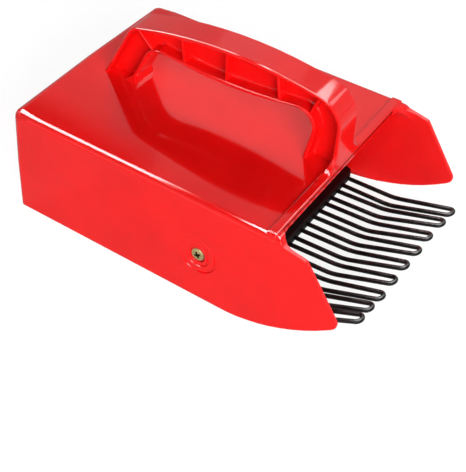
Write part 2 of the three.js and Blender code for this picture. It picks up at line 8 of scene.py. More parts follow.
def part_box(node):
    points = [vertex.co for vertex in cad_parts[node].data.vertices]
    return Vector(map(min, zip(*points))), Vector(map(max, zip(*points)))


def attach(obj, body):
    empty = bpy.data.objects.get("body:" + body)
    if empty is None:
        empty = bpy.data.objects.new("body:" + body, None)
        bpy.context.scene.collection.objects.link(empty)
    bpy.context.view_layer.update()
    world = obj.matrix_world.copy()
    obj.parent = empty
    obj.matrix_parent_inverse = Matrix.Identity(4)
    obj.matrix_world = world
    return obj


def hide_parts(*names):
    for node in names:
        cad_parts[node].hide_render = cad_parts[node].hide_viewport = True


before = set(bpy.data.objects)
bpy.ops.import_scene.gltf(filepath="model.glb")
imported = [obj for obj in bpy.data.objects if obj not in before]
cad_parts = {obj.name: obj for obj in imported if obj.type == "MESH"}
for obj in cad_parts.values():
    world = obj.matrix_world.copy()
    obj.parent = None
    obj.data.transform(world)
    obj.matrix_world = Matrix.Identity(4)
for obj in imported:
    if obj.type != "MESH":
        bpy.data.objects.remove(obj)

bl_info = {
    "name": "Berry Picking Rake",
    "version": (1, 0, 0),
    "blender": (4, 5, 0),
    "location": "View3D > Sidebar > Rake",
    "description": "Dresses the packed berry picking rake: moulded scoop, comb, tines and screws",
    "category": "Add Mesh",
}

MM = 0.001

# Places taken from the frame
COMB_LOW, COMB_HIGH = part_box("comb_base")
COMB_FRONT_X = COMB_HIGH.x
WIRE_RISE = 2.5 * MM
WIRE_Z = COMB_LOW.z + WIRE_RISE
TINE_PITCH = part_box("tine_4")[0].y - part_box("tine_5")[0].y
SCREW_LOW, SCREW_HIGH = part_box("right_screw")
SCREW_SEAT = (SCREW_LOW + SCREW_HIGH).xz / 2

# The scoop's sizes, as its solid has them
BOX_HEIGHT = 71.5 * MM
HALF_WIDTH = 75 * MM
BACK_FOOT_X = -70 * MM
BACK_LEAN = 3.1 * MM
SIDE_DRAFT = 1.6 * MM
LIP_BACK_X = 80 * MM
HANDLE_FOOT_HALF = 14 * MM


def linear(colour):
    """An sRGB hex colour as linear red, green, blue and alpha."""
    values = [int(colour[start:start + 2], 16) / 255 for start in (1, 3, 5)]
    return [
        value / 12.92 if value <= 0.04045 else ((value + 0.055) / 1.055) ** 2.4
        for value in values
    ] + [1.0]


# What a user would change

class RakeSizes(bpy.types.PropertyGroup):
    """Sizes of the pieces that are modelled here"""
    edge_round: bpy.props.FloatProperty(
        name="Edge Round", description="Width of the rounding on the scoop's sharp edges",
        default=0.5 * MM, min=0, unit="LENGTH",
    )
    corner_round: bpy.props.FloatProperty(
        name="Corner Round", description="Radius of the scoop's two rear corners at the top",
        default=6 * MM, min=4 * MM, unit="LENGTH",
    )
    wire_diameter: bpy.props.FloatProperty(
        name="Wire Diameter", description="Diameter of a tine's wire with its coating",
        default=2.8 * MM, min=0, unit="LENGTH",
    )
    leg_spacing: bpy.props.FloatProperty(
        name="Leg Spacing", description="Distance between a tine's legs at the bar",
        default=8 * MM, min=0, unit="LENGTH",
    )
    bend_spacing: bpy.props.FloatProperty(
        name="Bend Spacing", description="Distance between a tine's legs at the upward bend",
        default=8.4 * MM, min=0, unit="LENGTH",
    )
    tip_spacing: bpy.props.FloatProperty(
        name="Tip Spacing", description="Distance between a tine's legs at the tip",
        default=6.4 * MM, min=0, unit="LENGTH",
    )
    root_depth: bpy.props.FloatProperty(
        name="Root Depth", description="Length of a leg inside the bar",
        default=11.5 * MM, min=0, unit="LENGTH",
    )
    level_run: bpy.props.FloatProperty(
        name="Level Run", description="Distance from the bar to the upward bend",
        default=33.5 * MM, min=0, unit="LENGTH",
    )
    level_rise: bpy.props.FloatProperty(
        name="Level Rise", description="Rise of the wire from the bar to the bend",
        default=1.5 * MM, min=0, unit="LENGTH",
    )
    tine_reach: bpy.props.FloatProperty(
        name="Tine Reach", description="Distance from the bar to a tine's tip",
        default=72.8 * MM, min=0, unit="LENGTH",
    )
    tip_rise: bpy.props.FloatProperty(
        name="Tip Rise", description="Rise of the wire from the bar to the tip",
        default=13.6 * MM, min=0, unit="LENGTH",
    )
    bend_radius: bpy.props.FloatProperty(
        name="Bend Radius", description="Radius of the upward bend",
        default=36 * MM, min=0, unit="LENGTH",
    )
    head_radius: bpy.props.FloatProperty(
        name="Screw Head Radius", description="Radius of a side screw's pan head",
        default=4.2 * MM, min=0, unit="LENGTH",
    )
    head_height: bpy.props.FloatProperty(
        name="Screw Head Height", description="Height of a side screw's pan head",
        default=1.8 * MM, min=0, unit="LENGTH",
    )
    shank_radius: bpy.props.FloatProperty(
        name="Shank Radius", description="Radius of a side screw's shank",
        default=1.9 * MM, min=0, unit="LENGTH",
    )
    shank_length: bpy.props.FloatProperty(
        name="Shank Length", description="Length of a side screw below its head",
        default=14 * MM, min=0, unit="LENGTH",
    )


def colour_property(name, description, colour):
    """A colour that the panel shows, with an sRGB hex colour as its default."""
    return bpy.props.FloatVectorProperty(
        name=name, description=description, default=linear(colour),
        size=4, min=0, max=1, subtype="COLOR",
    )


class RakeFinishes(bpy.types.PropertyGroup):
    """Colours of the pieces"""
    red: colour_property("Red", "Colour of the scoop's polypropylene", "#E8100F")
    deep_red: colour_property("Deep Red", "Colour of its faint flow clouds", "#DC0C0E")
    # Painted light: the inside's red is lighter than the outside's red of the same plastic, for
    # light that the inside gets too little of
    core_red_painted_light: colour_property("Core Red", "Colour of the scoop's satin inside", "#FA0F12")
    black: colour_property("Black", "Colour of the comb's polypropylene", "#040405")
    coating: colour_property("Coating", "Colour of the dipped wire coating", "#040405")
    zinc: colour_property("Yellow Zinc", "Colour of the screws' plating", "#F4DFA6")
    zinc_green: colour_property("Zinc Tint", "Greenish tint in the plating", "#DCD08C")
    # Painted shade: the crosses' walls and floor get this dark colour in place of the shade that
    # falls in them
    recess: colour_property("Recess", "Colour of the dull plating in the crosses", "#4B4A2A")


class RakeStudio(bpy.types.PropertyGroup):
    """Light, floor and camera"""
    sky: bpy.props.FloatProperty(
        name="Sky Strength", description="Strength of the even light from all round",
        default=0.12, min=0,
    )
    surround: bpy.props.FloatProperty(
        name="Surround", description="Brightness of the surround that reflections show",
        default=0.56, min=0,
    )
    key: bpy.props.FloatProperty(
        name="Key Power", description="Power of the main soft light, in front on the right",
        default=29.0, min=0, subtype="POWER",
    )
    fill: bpy.props.FloatProperty(
        name="Fill Power", description="Power of the soft light beside the camera",
        default=3.5, min=0, subtype="POWER",
    )
    back: bpy.props.FloatProperty(
        name="Back Power", description="Power of the light behind, for the handle's shadow",
        default=18.0, min=0, subtype="POWER",
    )
    glint: bpy.props.FloatProperty(
        name="Glint", description="Brightness of the lamps that only reflections show",
        default=1.0, min=0,
    )
    floor: colour_property("Floor", "Colour of the floor", "#FBFBFB")


# Meshes

MERGE_REACH = 0.002 * MM
FLAT_ANGLE = math.radians(0.3)


def finished(bm, name, material):
    """Turns a bmesh into an object of the scene."""
    mesh = bpy.data.meshes.new(name)
    bm.to_mesh(mesh)
    bm.free()
    mesh.materials.append(material)
    piece = bpy.data.objects.new(name, mesh)
    bpy.context.scene.collection.objects.link(piece)
    return piece


def merged_copy(node, name, material):
    """A copy of a CAD node with its triangles joined and its flat faces made whole."""
    bm = bmesh.new()
    bm.from_mesh(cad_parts[node].data)
    bmesh.ops.remove_doubles(bm, verts=bm.verts, dist=MERGE_REACH)
    bmesh.ops.dissolve_limit(
        bm, angle_limit=FLAT_ANGLE, use_dissolve_boundaries=False,
        verts=bm.verts, edges=bm.edges, delimit=set(),
    )
    return finished(bm, name, material)


def cut(piece, cutter_bm, operation="DIFFERENCE"):
    """Takes the cutter's shape out of the piece, or keeps only what lies inside it."""
    mesh = bpy.data.meshes.new("cutter")
    cutter_bm.to_mesh(mesh)
    cutter_bm.free()
    cutter = bpy.data.objects.new("cutter", mesh)
    bpy.context.scene.collection.objects.link(cutter)
    boolean = piece.modifiers.new("cut", "BOOLEAN")
    boolean.object = cutter
    boolean.operation = operation
    boolean.solver = "EXACT"
    boolean.use_self = True
    bpy.context.view_layer.update()
    graph = bpy.context.evaluated_depsgraph_get()
    result = bpy.data.meshes.new_from_object(piece.evaluated_get(graph))
    piece.modifiers.clear()
    piece.data = result
    bpy.data.objects.remove(cutter)


def shade_smooth(piece, angle):
    """Smooth shading, with edges sharper than the angle kept sharp."""
    piece.data.polygons.foreach_set("use_smooth", [True] * len(piece.data.polygons))
    piece.data.set_sharp_from_angle(angle=angle)


def placed(piece, slot, *nodes):
    """Puts the piece on the rake's body, in the place of the named CAD nodes."""
    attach(piece, "root")
    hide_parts(*nodes)


# Rounded edges

ROUND_SEGMENTS = 2
FLAT_FACE_WEIGHT = 80
# A round takes this share of the narrower face beside its edge at most
ROOM_SHARE = 0.4
# Near a fine spot, such as a screw seat with its grooves, edges are rounded by this share
FINE_REACH = 14 * MM
FINE_SHARE = 0.6
# The fillet behind the lip bead, as a share of the edge round
FILLET_SHARE = 0.6
PANEL_REACH = 0.2 * MM


def room_beside(edge):
    """Width of the narrower face beside the edge, measured square to it."""
    start, end = (vert.co for vert in edge.verts)
    along = (end - start).normalized()
    return min(
        max((vert.co - start).cross(along).length for vert in face.verts)
        for face in edge.link_faces
    )


def behind_lip(spot):
    """Whether the spot is where the lip bead stands on the panel, beside the handle's foot."""
    is_on_panel = abs(spot.z - BOX_HEIGHT) < PANEL_REACH
    return is_on_panel and spot.x > LIP_BACK_X and abs(spot.y) > HANDLE_FOOT_HALF


def mark_edges(piece, width, angle, fine_spots):
    """Gives a bevel weight to the edges that stand out, and to the inner one behind the lip."""
    bm = bmesh.new()
    bm.from_mesh(piece.data)
    weight = bm.edges.layers.float.new("bevel_weight_edge")
    for edge in bm.edges:
        if not edge.is_manifold or edge.calc_face_angle() <= angle:
            continue
        middle = (edge.verts[0].co + edge.verts[1].co) / 2
        if edge.is_convex:
            is_fine = any((middle.xz - spot).length < FINE_REACH for spot in fine_spots)
            share = min(1, ROOM_SHARE * room_beside(edge) / width)
            edge[weight] = share * (FINE_SHARE if is_fine else 1)
        elif behind_lip(middle):
            edge[weight] = FILLET_SHARE
    bm.to_mesh(piece.data)
    bm.free()


def soften(piece, width, angle, fine_spots=()):
    """Rounds the piece's sharp edges and keeps its flat faces flat in shading."""
    mark_edges(piece, width, angle, fine_spots)
    shade_smooth(piece, angle)
    bevel = piece.modifiers.new("edge round", "BEVEL")
    bevel.width = width
    bevel.segments = ROUND_SEGMENTS
    bevel.limit_method = "WEIGHT"
    bevel.use_clamp_overlap = False
    bevel.miter_outer = "MITER_ARC"
    normals = piece.modifiers.new("face normals", "WEIGHTED_NORMAL")
    normals.keep_sharp = True
    normals.weight = FLAT_FACE_WEIGHT


# Materials

POLYPROPYLENE_IOR = 1.49
VINYL_IOR = 1.53
# Most of a noise's values lie between these
NOISE_LOW = 0.3
NOISE_HIGH = 0.7
# Sockets of the Mix node: its two numbers, its two colours and the mixed colour
NUMBER_A, NUMBER_B = 2, 3
COLOUR_A, COLOUR_B = 6, 7
COLOUR_OUT = 2
WHITE = linear("#FFFFFF")


def add_node(tree, kind, settings=(), **links):
    """Adds a node with its settings and links.

    Settings are (name, value) pairs of the node or of its sockets. A link names its socket with
    an underscore for each space, or gives an underscore and the socket's number.
    """
    node = tree.nodes.new(kind)
    for name, value in settings:
        if isinstance(name, int) or name in node.inputs:
            node.inputs[name].default_value = value
        else:
            setattr(node, name, value)
    for name, source in links.items():
        number = name[1:]
        socket = int(number) if number.isdigit() else name.replace("_", " ")
        tree.links.new(source, node.inputs[socket])
    return node


def new_material(name):
    """An empty material and its node tree."""
    material = bpy.data.materials.new(name)
    material.use_nodes = True
    material.node_tree.nodes.clear()
    return material, material.node_tree


def surface_from(tree, shader):
    """Makes the shader the material's surface."""
    output = add_node(tree, "ShaderNodeOutputMaterial")
    tree.links.new(shader.outputs[0], output.inputs["Surface"])


def drift(tree, place, period, detail, low, high):
    """A number that drifts between low and high, with its features about one period apart."""
    pattern = add_node(
        tree, "ShaderNodeTexNoise", [("Scale", 1 / period), ("Detail", detail)],
        Vector=place.outputs["Object"],
    )
    return add_node(
        tree, "ShaderNodeMapRange",
        [("From Min", NOISE_LOW), ("From Max", NOISE_HIGH), ("To Min", low), ("To Max", high)],
        Value=pattern.outputs[0],
    ).outputs[0]


def relief(tree, place, period, detail, strength, depth, **under):
    """The normals of an uneven surface, with its features about one period apart."""
    pattern = add_node(
        tree, "ShaderNodeTexNoise", [("Scale", 1 / period), ("Detail", detail)],
        Vector=place.outputs["Object"],
    )
    return add_node(
        tree, "ShaderNodeBump", [("Strength", strength), ("Distance", depth)],
        Height=pattern.outputs[0], **under,
    ).outputs[0]


def red_polypropylene(name, colour, cloud_colour, roughness):
    """Injection moulded polypropylene.

    Shallow sink waves and a fine grain make its reflections waver, and faint flow clouds keep
    its colour from being flat.
    """
    material, tree = new_material(name)
    place = add_node(tree, "ShaderNodeTexCoord")
    colours = add_node(
        tree, "ShaderNodeMix",
        [("data_type", "RGBA"), (COLOUR_A, colour), (COLOUR_B, cloud_colour)],
        Factor=drift(tree, place, period=38 * MM, detail=3, low=0, high=1),
    )
    polish = drift(
        tree, place, period=9 * MM, detail=4, low=roughness * 0.75, high=roughness * 1.3,
    )
    waves = relief(tree, place, period=24 * MM, detail=1, strength=0.35, depth=0.05 * MM)
    # A mould's real grain is finer. It is drawn as coarse as it needs to show.
    grain = relief(
        tree, place, period=0.9 * MM, detail=2, strength=0.25, depth=0.006 * MM, Normal=waves,
    )
    shader = add_node(
        tree, "ShaderNodeBsdfPrincipled", [("IOR", POLYPROPYLENE_IOR)],
        Base_Color=colours.outputs[COLOUR_OUT], Roughness=polish, Normal=grain,
    )
    surface_from(tree, shader)
    return material


def black_polypropylene(name, colour):
    """Black filled polypropylene from a spark-eroded mould: satin, with a fine even grain."""
    material, tree = new_material(name)
    place = add_node(tree, "ShaderNodeTexCoord")
    polish = drift(tree, place, period=6 * MM, detail=3, low=0.55, high=0.7)
    # The real grain is finer here too, and is drawn as coarse as it needs to show
    grain = relief(tree, place, period=0.5 * MM, detail=2, strength=0.4, depth=0.02 * MM)
    shader = add_node(
        tree, "ShaderNodeBsdfPrincipled", [("Base Color", colour), ("IOR", POLYPROPYLENE_IOR)],
        Roughness=polish, Normal=grain,
    )
    surface_from(tree, shader)
    return material


def dipped_coating(name, colour):
    """Vinyl coating from a dip tank on steel wire: glossy, with soft sags along the wire."""
    material, tree = new_material(name)
    place = add_node(tree, "ShaderNodeTexCoord")
    polish = drift(tree, place, period=5 * MM, detail=2, low=0.28, high=0.42)
    sags = relief(tree, place, period=4 * MM, detail=1, strength=0.3, depth=0.05 * MM)
    shader = add_node(
        tree, "ShaderNodeBsdfPrincipled", [("Base Color", colour), ("IOR", VINYL_IOR)],
        Roughness=polish, Normal=sags,
    )
    surface_from(tree, shader)
    return material


def yellow_zinc(name, colour, tint):
    """Steel with yellow passivated zinc plating: a warm metal with a greenish bloom."""
    material, tree = new_material(name)
    place = add_node(tree, "ShaderNodeTexCoord")
    colours = add_node(
        tree, "ShaderNodeMix", [("data_type", "RGBA"), (COLOUR_A, colour), (COLOUR_B, tint)],
        Factor=drift(tree, place, period=2.2 * MM, detail=2, low=0, high=1),
    )
    polish = drift(tree, place, period=0.8 * MM, detail=3, low=0.34, high=0.5)
    shader = add_node(
        tree, "ShaderNodeBsdfPrincipled", [("Metallic", 1.0)],
        Base_Color=colours.outputs[COLOUR_OUT], Roughness=polish,
    )
    surface_from(tree, shader)
    return material


def shaded_zinc(name, colour):
    """Painted shade down in a recess: the yellow zinc as a metal too dark to glint, so that the
    cross shows.
    """
    material, tree = new_material(name)
    place = add_node(tree, "ShaderNodeTexCoord")
    polish = drift(tree, place, period=0.8 * MM, detail=3, low=0.34, high=0.5)
    shader = add_node(
        tree, "ShaderNodeBsdfPrincipled", [("Base Color", colour), ("Metallic", 1.0)],
        Roughness=polish,
    )
    surface_from(tree, shader)
    return material


# Scoop

SCOOP_ANGLE = math.radians(32)
GLOSS_ROUGHNESS = 0.07
SATIN_ROUGHNESS = 0.45

# The block that the scoop is trimmed with
FOOT_CORNER = 3 * MM
CORNER_START = 20 * MM
LEAST_CORNER = 0.2 * MM
BLOCK_FOOT = -1 * MM
BLOCK_TOP = 130 * MM
BLOCK_FRONT_X = 200 * MM
BLOCK_SPREAD = 40 * MM
BACK_BOW = 1 * MM
# It stands this far inside the walls, so that no two faces coincide
SHAVING = 0.01 * MM
CORNER_STEPS = 8
ROLL_STEPS = 5

# Faces of the core side have their middles within these limits. From the mouth depth forward
# they may come closer to the sides, and the leaning back reaches behind its foot.
INSIDE_MARGIN = 3.2 * MM
BACK_REACH = 1 * MM
MOUTH_MARGIN = 1.2 * MM
MOUTH_DEPTH = 20 * MM
CORE_FOOT = 1.2 * MM
CORE_ROOF = 1.6 * MM


def corner_outline(back, half, radius):
    """A plan outline that is tight round the two rear corners and spreads clear of the walls."""
    side = [Vector((BLOCK_FRONT_X, -half - BLOCK_SPREAD))]
    for index in range(CORNER_STEPS + 1):
        angle = math.pi / 2 * index / CORNER_STEPS
        side.append(Vector((
            back + radius * (1 - math.sin(angle)), -half + radius * (1 - math.cos(angle)),
        )))
    far_side = [Vector((point.x, -point.y)) for point in reversed(side)]
    return side + [Vector((back - BACK_BOW, 0))] + far_side


def corner_levels(radius):
    """Heights of the outline, each with its corner radius and how far it draws in."""
    top = []
    for index in range(ROLL_STEPS + 1):
        angle = math.pi / 2 * index / ROLL_STEPS
        inset = radius * (1 - math.cos(angle))
        height = BOX_HEIGHT - radius * (1 - math.sin(angle))
        top.append((height, radius - inset + LEAST_CORNER, inset))
    return (
        [(BLOCK_FOOT, FOOT_CORNER, 0), (CORNER_START, FOOT_CORNER, 0)]
        + top
        + [(BLOCK_TOP, LEAST_CORNER, radius)]
    )


def corner_block(radius):
    """A block whose upright corners grow rounder up the leaning walls and roll over at the top."""
    bm = bmesh.new()
    loops = []
    for height, corner, inset in corner_levels(radius):
        share = max(0, min(height, BOX_HEIGHT)) / BOX_HEIGHT
        outline = corner_outline(
            BACK_FOOT_X - BACK_LEAN * share + inset + SHAVING,
            HALF_WIDTH - SIDE_DRAFT * share - inset - SHAVING,
            corner,
        )
        verts = [bm.verts.new((point.x, point.y, height)) for point in outline]
        loops.append([bm.edges.new(pair) for pair in zip(verts, verts[1:] + verts[:1])])
    for low, high in zip(loops, loops[1:]):
        bmesh.ops.bridge_loops(bm, edges=low + high)
    bmesh.ops.edgenet_fill(bm, edges=loops[0])
    bmesh.ops.edgenet_fill(bm, edges=loops[-1])
    bmesh.ops.recalc_face_normals(bm, faces=bm.faces)
    return bm


def satin_inside(piece):
    """Gives the second material, satin and painted a lighter red, to the faces that the mould's
    core made.
    """
    for face in piece.data.polygons:
        x, y, z = face.center
        is_walled = abs(y) < HALF_WIDTH - INSIDE_MARGIN and x > BACK_FOOT_X - BACK_REACH
        is_in_mouth = abs(y) < HALF_WIDTH - MOUTH_MARGIN and x > BACK_FOOT_X + MOUTH_DEPTH
        if (is_walled or is_in_mouth) and CORE_FOOT < z < BOX_HEIGHT - CORE_ROOF:
            face.material_index = 1


class RAKE_OT_scoop(bpy.types.Operator):
    """Dress the red scoop with its handle"""
    bl_idname = "rake.scoop"
    bl_label = "Scoop"

    def execute(self, context):
        sizes, finishes = context.scene.rake_sizes, context.scene.rake_finishes
        # The mould's polished cavity gives the outside a gloss that mirrors the handle
        gloss = red_polypropylene(
            "gloss polypropylene, red", finishes.red, finishes.deep_red, GLOSS_ROUGHNESS,
        )
        # Its plain core leaves the inside satin, so that light spreads there without an image
        # Its lighter red is painted light, for light that the inside misses
        satin = red_polypropylene(
            "satin polypropylene, red with painted light", finishes.core_red_painted_light, finishes.red, SATIN_ROUGHNESS,
        )
        piece = merged_copy("scoop_body", "scoop_moulding", gloss)
        cut(piece, corner_block(sizes.corner_round), "INTERSECT")
        piece.data.materials.append(satin)
        satin_inside(piece)
        soften(piece, sizes.edge_round, SCOOP_ANGLE, fine_spots=[SCREW_SEAT])
        placed(piece, "red_moulding", "scoop_body")
        return {"FINISHED"}


# Comb base

COMB_ANGLE = math.radians(32)
COMB_ROUND = 0.25 * MM


class RAKE_OT_comb(bpy.types.Operator):
    """Dress the black comb base"""
    bl_idname = "rake.comb"
    bl_label = "Comb Base"

    def execute(self, context):
        finishes = context.scene.rake_finishes
        material = black_polypropylene("satin polypropylene, black", finishes.black)
        piece = merged_copy("comb_base", "comb_moulding", material)
        soften(piece, COMB_ROUND, COMB_ANGLE)
        placed(piece, "black_moulding", "comb_base")
        return {"FINISHED"}


# Tines

WIRE_ANGLE = math.radians(50)
SIDE_COUNT = 20
BEND_STEPS = 16
TIP_STEPS = 16
RUN_STEPS = 6
# The tines are bent by hand: how far each tip drifts sideways, as a share of the pitch, and how
# far each tine reaches, as a share of the common reach
TIP_LEANS = [-0.16, 0.04, 0, 0, 0, 0, 0, 0.27, 0.58]
REACH_SHARES = [1.024, 1.016, 1, 1, 0.992, 0.99, 0.988, 0.972, 0.965]
TINE_COUNT = len(TIP_LEANS)


def run_points(start, end, steps):
    """Points along a straight run, without its end."""
    return [start.lerp(end, index / steps) for index in range(steps)]


def bend_points(before, corner, after, radius):
    """Points of the arc that rounds a corner of the side line."""
    arriving = (corner - before).normalized()
    leaving = (after - corner).normalized()
    turn = arriving.angle(leaving)
    setback = radius * math.tan(turn / 2)
    start = corner - arriving * setback
    centre = start + Vector((-arriving.y, arriving.x)) * radius
    spoke = start - centre
    return [
        centre + Matrix.Rotation(turn * index / BEND_STEPS, 2) @ spoke
        for index in range(BEND_STEPS + 1)
    ]


def side_line(sizes, reach):
    """The wire seen from the side: level in the bar, a gentle rise, and the bend up to the tip."""
    front = Vector((COMB_FRONT_X, WIRE_Z))
    root = front - Vector((sizes.root_depth, 0))
    corner = front + Vector((sizes.level_run, sizes.level_rise))
    tip_back = sizes.wire_diameter / 2 + sizes.tip_spacing / 2
    end = front + Vector((reach - tip_back, sizes.tip_rise))
    bend = bend_points(front, corner, end, sizes.bend_radius)
    return (
        run_points(root, front, RUN_STEPS)
        + run_points(front, bend[0], RUN_STEPS)
        + bend
        + run_points(bend[-1], end, RUN_STEPS)[1:]
        + [end]
    )


def leg_half(sizes, x, reach):
    """Half the distance between the legs: they bow out to the bend and close to the tip."""
    run = max(0, x - COMB_FRONT_X)
    if run < sizes.level_run:
        spread = sizes.bend_spacing - sizes.leg_spacing
        return (sizes.leg_spacing + spread * run / sizes.level_run) / 2
    tip_run = reach - sizes.wire_diameter / 2 - sizes.tip_spacing / 2
    share = (run - sizes.level_run) / (tip_run - sizes.level_run)
    return (sizes.bend_spacing + (sizes.tip_spacing - sizes.bend_spacing) * share) / 2


def hairpin_path(sizes, centre, lean, reach):
    """The wire's middle line: out along one leg, round the tip and back along the other."""
    line = side_line(sizes, reach)

    def centre_at(x):
        return centre + lean * max(0, x - COMB_FRONT_X) / reach

    legs = {
        side: [
            Vector((p.x, centre_at(p.x) + side * leg_half(sizes, p.x, reach), p.y))
            for p in line
        ]
        for side in (1, -1)
    }
    end = line[-1]
    ahead = (end - line[-2]).normalized()
    half = leg_half(sizes, end.x, reach)
    tip = []
    for index in range(1, TIP_STEPS):
        angle = math.pi / 2 - math.pi * index / TIP_STEPS
        forward = half * math.cos(angle)
        tip.append(Vector((
            end.x + ahead.x * forward,
            centre_at(end.x) + half * math.sin(angle),
            end.y + ahead.y * forward,
        )))
    return legs[1] + tip + legs[-1][::-1]


def swept_wire(path, radius):
    """A round wire drawn along a path: a ring is extruded and turned from point to point."""
    bm = bmesh.new()
    tangents = [
        (path[min(i + 1, len(path) - 1)] - path[max(i - 1, 0)]).normalized()
        for i in range(len(path))
    ]
    start_turn = Vector((0, 0, 1)).rotation_difference(tangents[0]).to_matrix().to_4x4()
    bmesh.ops.create_circle(
        bm, cap_ends=False, segments=SIDE_COUNT, radius=radius,
        matrix=Matrix.Translation(path[0]) @ start_turn,
    )
    first = edges = list(bm.edges)
    for index in range(1, len(path)):
        grown = bmesh.ops.extrude_edge_only(bm, edges=edges)["geom"]
        ring = [item for item in grown if isinstance(item, bmesh.types.BMVert)]
        edges = [item for item in grown if isinstance(item, bmesh.types.BMEdge)]
        turn = tangents[index - 1].rotation_difference(tangents[index]).to_matrix().to_4x4()
        step = (
            Matrix.Translation(path[index]) @ turn @ Matrix.Translation(-path[index - 1])
        )
        bmesh.ops.transform(bm, matrix=step, verts=ring)
    bmesh.ops.edgenet_fill(bm, edges=first)
    bmesh.ops.edgenet_fill(bm, edges=edges)
    bmesh.ops.recalc_face_normals(bm, faces=bm.faces)
    return bm


class RAKE_OT_tines(bpy.types.Operator):
    """Make the nine hairpin tines"""
    bl_idname = "rake.tines"
    bl_label = "Tines"

    def execute(self, context):
        sizes, finishes = context.scene.rake_sizes, context.scene.rake_finishes
        material = dipped_coating("dipped vinyl coating, black", finishes.coating)
        for index in range(TINE_COUNT):
            name = f"tine_{index + 1}"
            centre = (TINE_COUNT // 2 - index) * TINE_PITCH
            lean = TIP_LEANS[index] * TINE_PITCH
            reach = REACH_SHARES[index] * sizes.tine_reach
            wire = swept_wire(hairpin_path(sizes, centre, lean, reach), sizes.wire_diameter / 2)
            piece = finished(wire, f"wire_{name}", material)
            shade_smooth(piece, WIRE_ANGLE)
            placed(piece, "tine_wire", name)
        return {"FINISHED"}


# Side screws

SCREW_ANGLE = math.radians(35)
SCREW_ROUND = 0.1 * MM
SCREW_STEPS = 48
SCREW_MERGE_REACH = 0.001 * MM

# The shank's blunt end
POINT_SHARE = 0.45
POINT_LENGTH = 0.8 * MM
TAPER_LENGTH = 2.5 * MM

# The pan head, from its underside to its crown, as shares of its radius and height
UNDERSIDE_SHARE = 0.97
HEAD_CHAMFER = 0.2 * MM
CROWN = ((1, 0.6), (0.95, 0.76), (0.8, 0.9), (0.5, 0.975), (0, 1))

# The driver's cross: length and width of a wing at its foot and above the crown
CROSS_DEPTH = 2.4 * MM
CROSS_CLEARANCE = 1 * MM
CROSS_FOOT = (1.8 * MM, 0.9 * MM)
CROSS_TOP = (5.4 * MM, 1.5 * MM)
# How the screws happen to have stopped turning, in radians
CROSS_TURN = 0.5

# Where the faces inside the cross lie, which take the painted shade
RECESS_LOW = -1.5 * MM
RECESS_TOP_SHARE = 0.92
RECESS_REACH = 2.75 * MM
RECESS_FLOOR_REACH = 1.2 * MM
LEVEL_NORMAL = 0.999


def screw_profile(sizes):
    """Half the screw's outline, from its end to the crown: radius and height."""
    radius, height = sizes.head_radius, sizes.head_height
    shank, length = sizes.shank_radius, sizes.shank_length
    end = [
        (0, -length), (shank * POINT_SHARE, -length + POINT_LENGTH),
        (shank, -length + TAPER_LENGTH), (shank, 0),
    ]
    underside = [(radius * UNDERSIDE_SHARE, 0), (radius, HEAD_CHAMFER)]
    return end + underside + [(radius * across, height * up) for across, up in CROWN]


def turned(profile):
    """A solid of revolution about the Z axis."""
    bm = bmesh.new()
    verts = [bm.verts.new((radius, 0, height)) for radius, height in profile]
    edges = [bm.edges.new(pair) for pair in zip(verts, verts[1:])]
    bmesh.ops.spin(
        bm, geom=verts + edges, cent=(0, 0, 0), axis=(0, 0, 1), angle=math.tau,
        steps=SCREW_STEPS, use_merge=True,
    )
    bmesh.ops.remove_doubles(bm, verts=bm.verts, dist=SCREW_MERGE_REACH)
    bmesh.ops.recalc_face_normals(bm, faces=bm.faces)
    return bm


def cross_cutter(sizes):
    """The driver's cross: two tapered wings that narrow to the recess's floor."""
    bm = bmesh.new()
    for turn in (0, math.pi / 2):
        wing = bmesh.ops.create_cube(bm, size=1)["verts"]
        for vert in wing:
            is_foot = vert.co.z < 0
            length, width = CROSS_FOOT if is_foot else CROSS_TOP
            vert.co.x *= length
            vert.co.y *= width
            vert.co.z = sizes.head_height + (-CROSS_DEPTH if is_foot else CROSS_CLEARANCE)
        bmesh.ops.rotate(
            bm, verts=wing, cent=(0, 0, 0), matrix=Matrix.Rotation(turn, 3, "Z"),
        )
    bmesh.ops.recalc_face_normals(bm, faces=bm.faces)
    return bm


def shade_recess(piece, sizes):
    """Gives the second material, the painted shade, to the walls and the floor of the cross."""
    for face in piece.data.polygons:
        reach = face.center.xy.length
        is_deep = RECESS_LOW < face.center.z < sizes.head_height * RECESS_TOP_SHARE
        is_wall = reach < RECESS_REACH and abs(face.normal.z) < LEVEL_NORMAL
        if is_deep and (is_wall or reach < RECESS_FLOOR_REACH):
            face.material_index = 1


class RAKE_OT_screws(bpy.types.Operator):
    """Make the two side screws"""
    bl_idname = "rake.screws"
    bl_label = "Side Screws"

    def execute(self, context):
        sizes, finishes = context.scene.rake_sizes, context.scene.rake_finishes
        plating = yellow_zinc("yellow zinc plated steel", finishes.zinc, finishes.zinc_green)
        # A darker zinc for the crosses' insides, as painted shade
        shaded = shaded_zinc("painted shade, yellow zinc", finishes.recess)
        for name, side in (("left_screw", 1), ("right_screw", -1)):
            low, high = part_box(name)
            piece = finished(turned(screw_profile(sizes)), f"{name}_cross_head", plating)
            cut(piece, cross_cutter(sizes))
            piece.data.materials.append(shaded)
            shade_recess(piece, sizes)
            seat = (low + high) / 2
            seat.y = (high.y if side > 0 else low.y) - side * sizes.head_height
            turn = Matrix.Rotation(-side * math.pi / 2, 4, "X")
            cross_turn = Matrix.Rotation(CROSS_TURN, 4, "Z")
            piece.data.transform(Matrix.Translation(seat) @ turn @ cross_turn)
            soften(piece, SCREW_ROUND, SCREW_ANGLE)
            placed(piece, "side_screw", name)
        return {"FINISHED"}


# Studio, in metres

FLOOR_Z = -0.3 * MM
FLOOR_HALF = 6
# What the camera sees of the floor's own glow, what reflections see of it as a share of the
# surround, and how much of the floor is glow. The rest is paper, which takes the shadow.
GLOW_TO_CAMERA = 1.05
GLOW_TO_REFLECTIONS = 0.6
GLOW_SHARE = 0.82
PAPER_ROUGHNESS = 0.5

